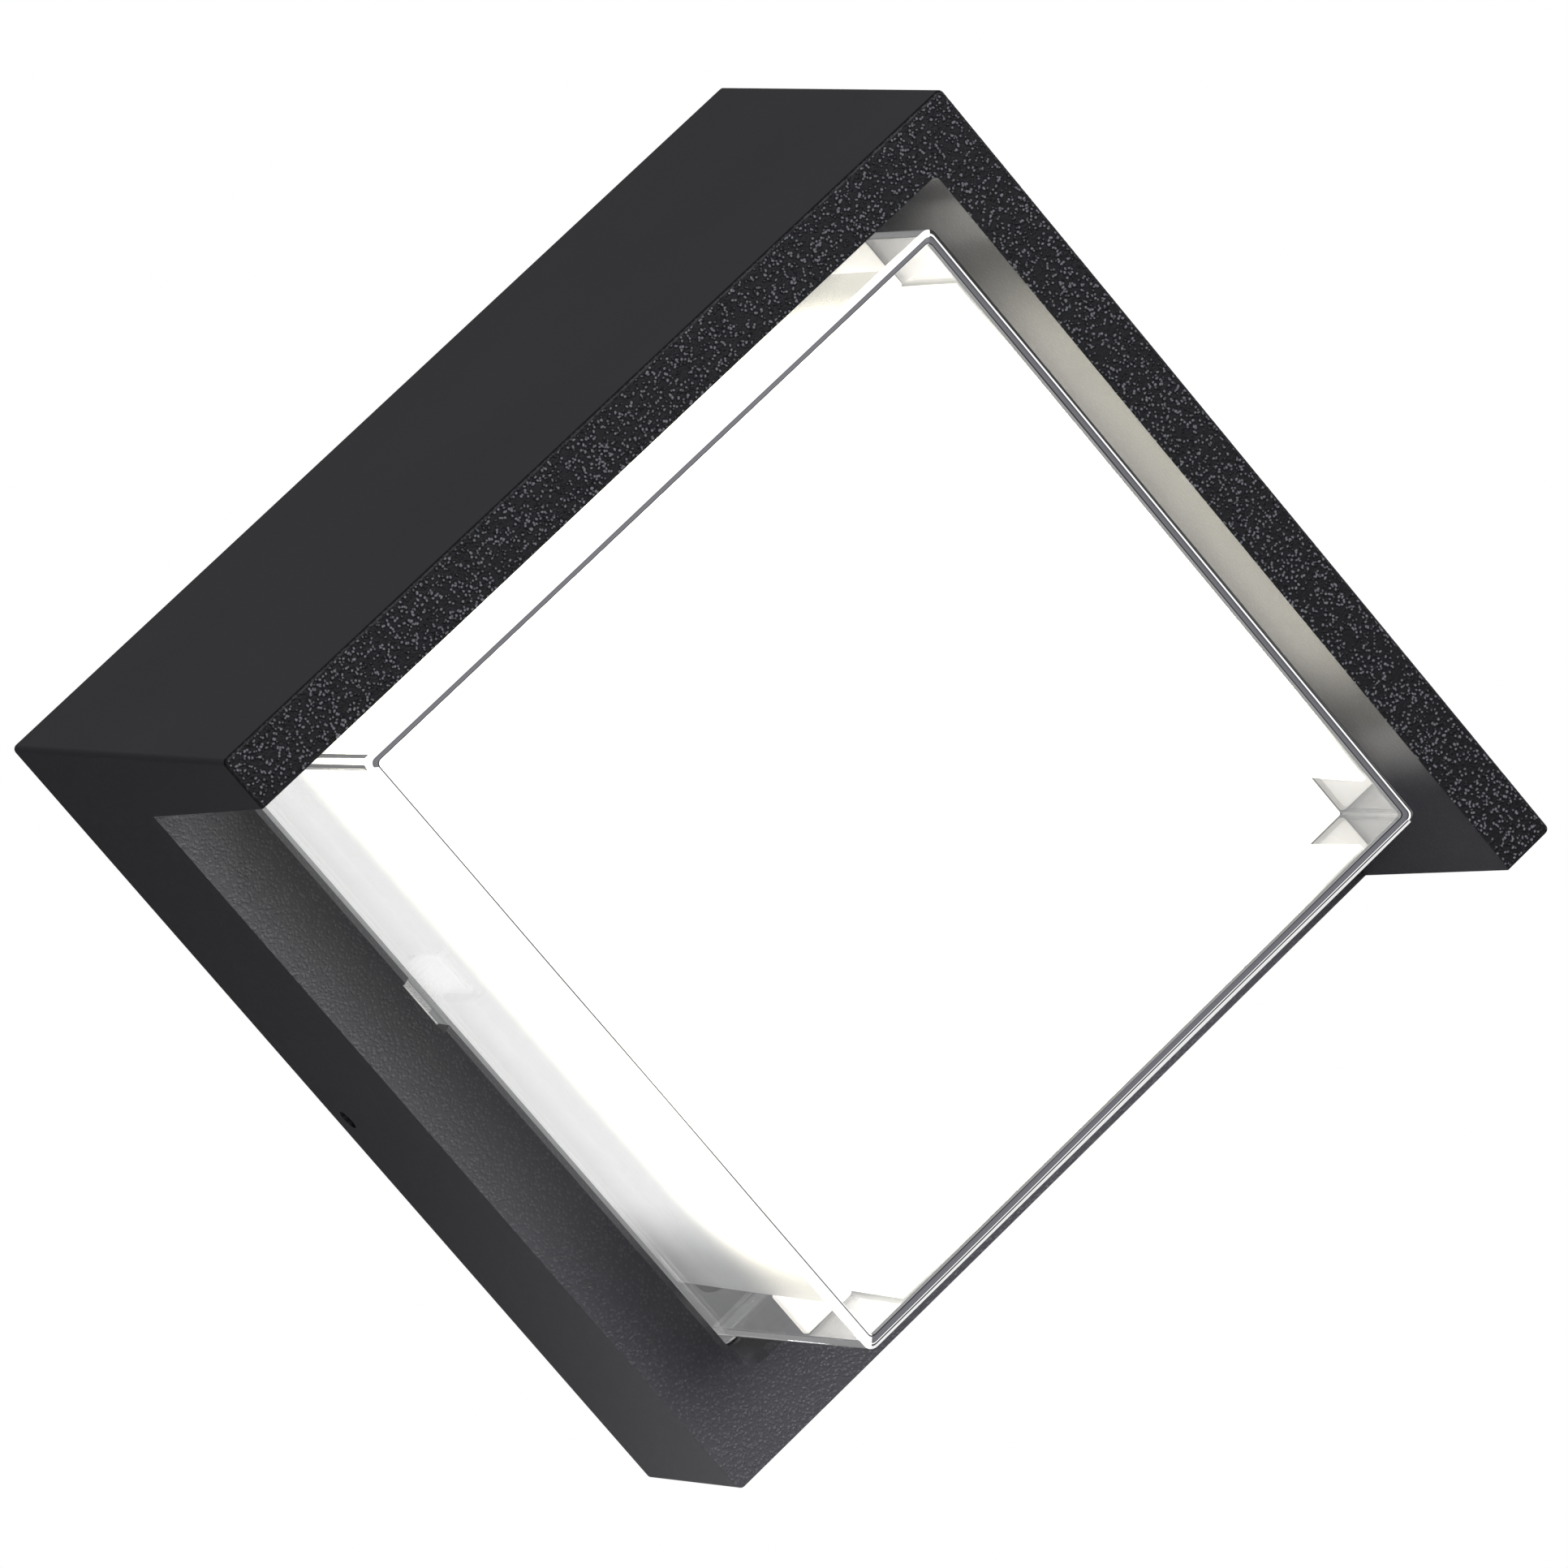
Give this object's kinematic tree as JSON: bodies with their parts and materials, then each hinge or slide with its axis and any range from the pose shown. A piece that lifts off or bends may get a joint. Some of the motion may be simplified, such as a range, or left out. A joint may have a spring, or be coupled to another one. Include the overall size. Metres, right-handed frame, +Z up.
{
  "type": "outdoor wall lantern",
  "caption": "Square wall light hung on its corner: a die-cast body with a deep hood over its two upper sides and a clear square cover round a glowing opal plate.",
  "frame": {"origin": "centre of the wall bracket's back face, in the plane of the wall", "axes": "+Y into the wall, so the light's front faces -Y; +X to the right seen from the front; +Z up, through the top corner of the square"},
  "size_m": [0.2256, 0.1, 0.2256],
  "materials": {
    "casting_paint": "fine textured powder coat, charcoal black, on a die-cast aluminium body",
    "clear_plastic": "clear polished acrylic",
    "grey_silicone": "grey silicone rubber",
    "stainless_steel": "stainless steel",
    "opal_plate": "opal acrylic, lit evenly from behind",
    "opal_strip": "opal sheet, lit from inside",
    "board_aluminium": "aluminium-core circuit board, white solder mask",
    "led_phosphor": "yellow phosphor on a white package",
    "white_plastic": "white moulded plastic",
    "black_rubber": "black EPDM rubber",
    "circuit_board": "green glass-fibre circuit board",
    "brass": "plain brass",
    "zinc_steel": "zinc-plated sheet steel",
    "brown_sleeve": "brown PVC",
    "blue_sleeve": "blue PVC",
    "green_yellow_sleeve": "green and yellow PVC",
    "red_sleeve": "red silicone",
    "black_sleeve": "black silicone"
  },
  "bodies": {
    "root": {"housing": "casting_paint", "clear_cover": "clear_plastic", "cover_gasket": "grey_silicone", "cover_clip_1": "stainless_steel", "cover_clip_2": "stainless_steel", "cover_clip_3": "stainless_steel", "cover_clip_4": "stainless_steel", "opal_plate": "opal_plate", "side_strip_1": "opal_strip", "side_strip_2": "opal_strip", "side_strip_3": "opal_strip", "side_strip_4": "opal_strip", "led_board": "board_aluminium", "led_1": "led_phosphor", "led_2": "led_phosphor", "led_3": "led_phosphor", "led_4": "led_phosphor", "led_5": "led_phosphor", "led_6": "led_phosphor", "led_7": "led_phosphor", "led_8": "led_phosphor", "led_9": "led_phosphor", "led_10": "led_phosphor", "led_11": "led_phosphor", "led_12": "led_phosphor", "reflector_tray": "white_plastic", "board_screw_1": "stainless_steel", "board_screw_2": "stainless_steel", "board_screw_3": "stainless_steel", "board_screw_4": "stainless_steel", "floor_grommet": "black_rubber", "driver_case": "white_plastic", "driver_lid": "white_plastic", "driver_board": "circuit_board", "driver_screw_1": "stainless_steel", "driver_screw_2": "stainless_steel", "terminal_block": "white_plastic", "terminal_clamp_1": "brass", "terminal_screw_1": "zinc_steel", "terminal_screw_2": "zinc_steel", "terminal_clamp_2": "brass", "terminal_screw_3": "zinc_steel", "terminal_screw_4": "zinc_steel", "terminal_clamp_3": "brass", "terminal_screw_5": "zinc_steel", "terminal_screw_6": "zinc_steel", "terminal_fixing_1": "stainless_steel", "terminal_fixing_2": "stainless_steel", "lead_line": "brown_sleeve", "lead_neutral": "blue_sleeve", "lead_earth": "green_yellow_sleeve", "lead_led_plus": "red_sleeve", "lead_led_minus": "black_sleeve", "earth_lug": "zinc_steel", "earth_screw": "brass", "wall_bracket": "zinc_steel", "entry_grommet": "black_rubber", "wall_gasket": "black_rubber", "side_screw_1": "stainless_steel", "side_screw_2": "stainless_steel"}
  },
  "joints": []
}
